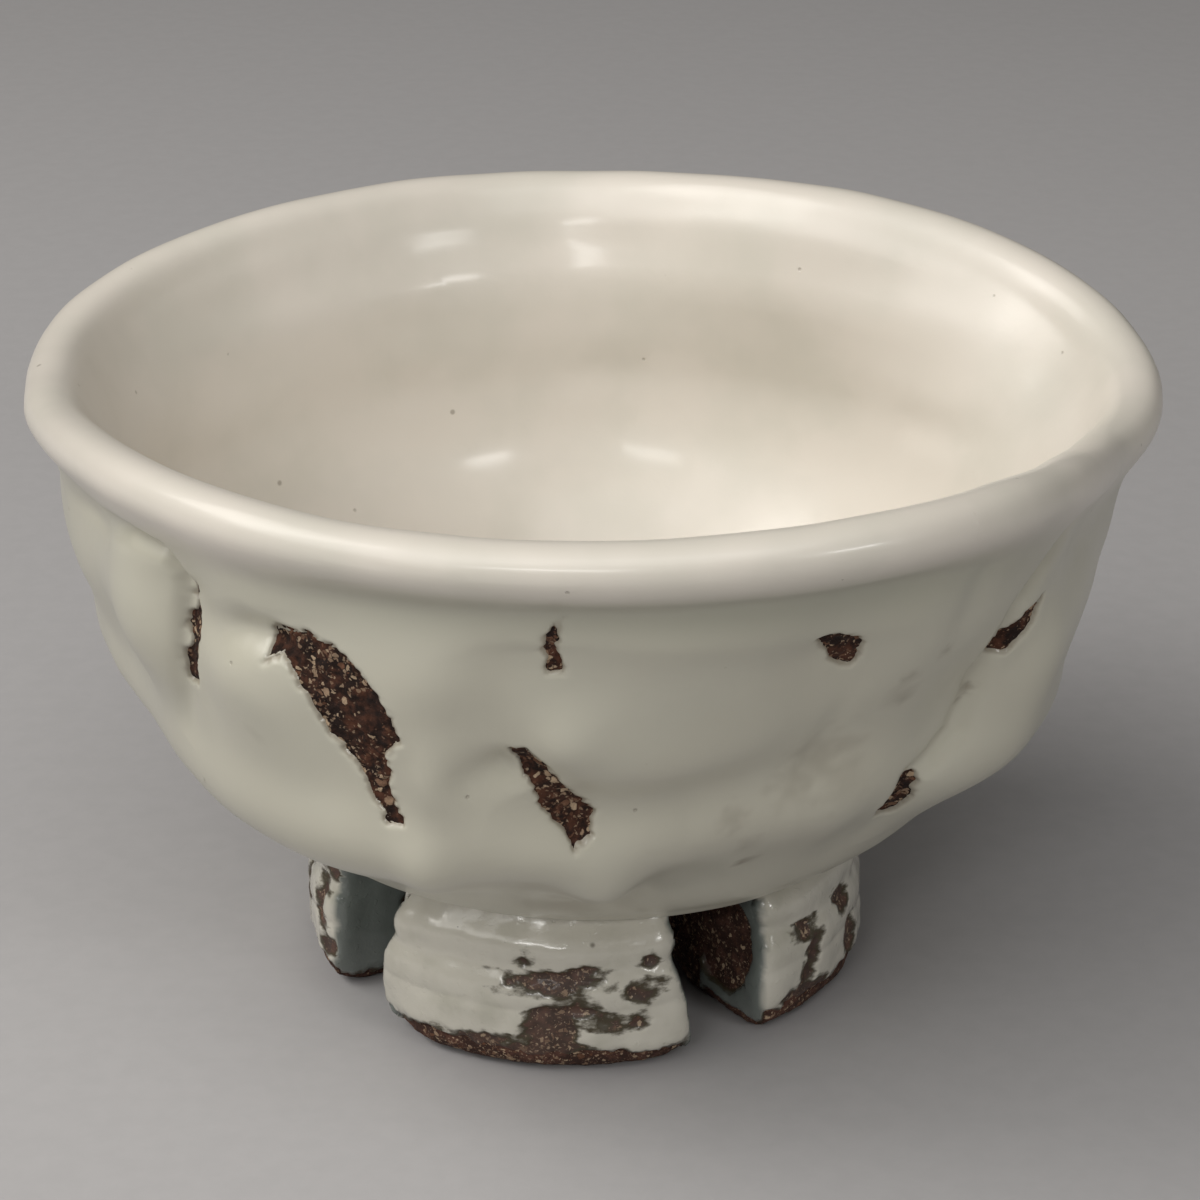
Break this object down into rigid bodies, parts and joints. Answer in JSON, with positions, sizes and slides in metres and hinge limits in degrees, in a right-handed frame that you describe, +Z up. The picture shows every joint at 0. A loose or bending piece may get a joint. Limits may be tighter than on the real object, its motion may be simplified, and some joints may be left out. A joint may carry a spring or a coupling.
{
  "type": "tea bowl",
  "caption": "Hand-pressed stoneware tea bowl with a thick rolled lip, white glaze with bare clay windows, and a cross-split foot.",
  "frame": {"origin": "centre of the bowl's extent in X and Y, on the ground plane under the foot's treads", "axes": "+Z up out of the mouth, -Y the side with the great leaf-shaped window, which the picture shows"},
  "size_m": [0.132, 0.1332, 0.0817],
  "materials": {
    "clay": "coarse iron-dark stoneware, unglazed",
    "white_glaze": "thick milky white glaze, satin to glossy",
    "foot_glaze": "thinner grey-white glaze, glossy, broken over the clay"
  },
  "bodies": {
    "root": {"clay_bowl": "clay", "glaze_coat": "white_glaze", "foot_lobe_front": "clay", "foot_lobe_right": "clay", "foot_lobe_back": "clay", "foot_lobe_left": "clay", "foot_glaze_front": "foot_glaze", "foot_glaze_right": "foot_glaze", "foot_glaze_back": "foot_glaze", "foot_glaze_left": "foot_glaze"}
  },
  "joints": []
}
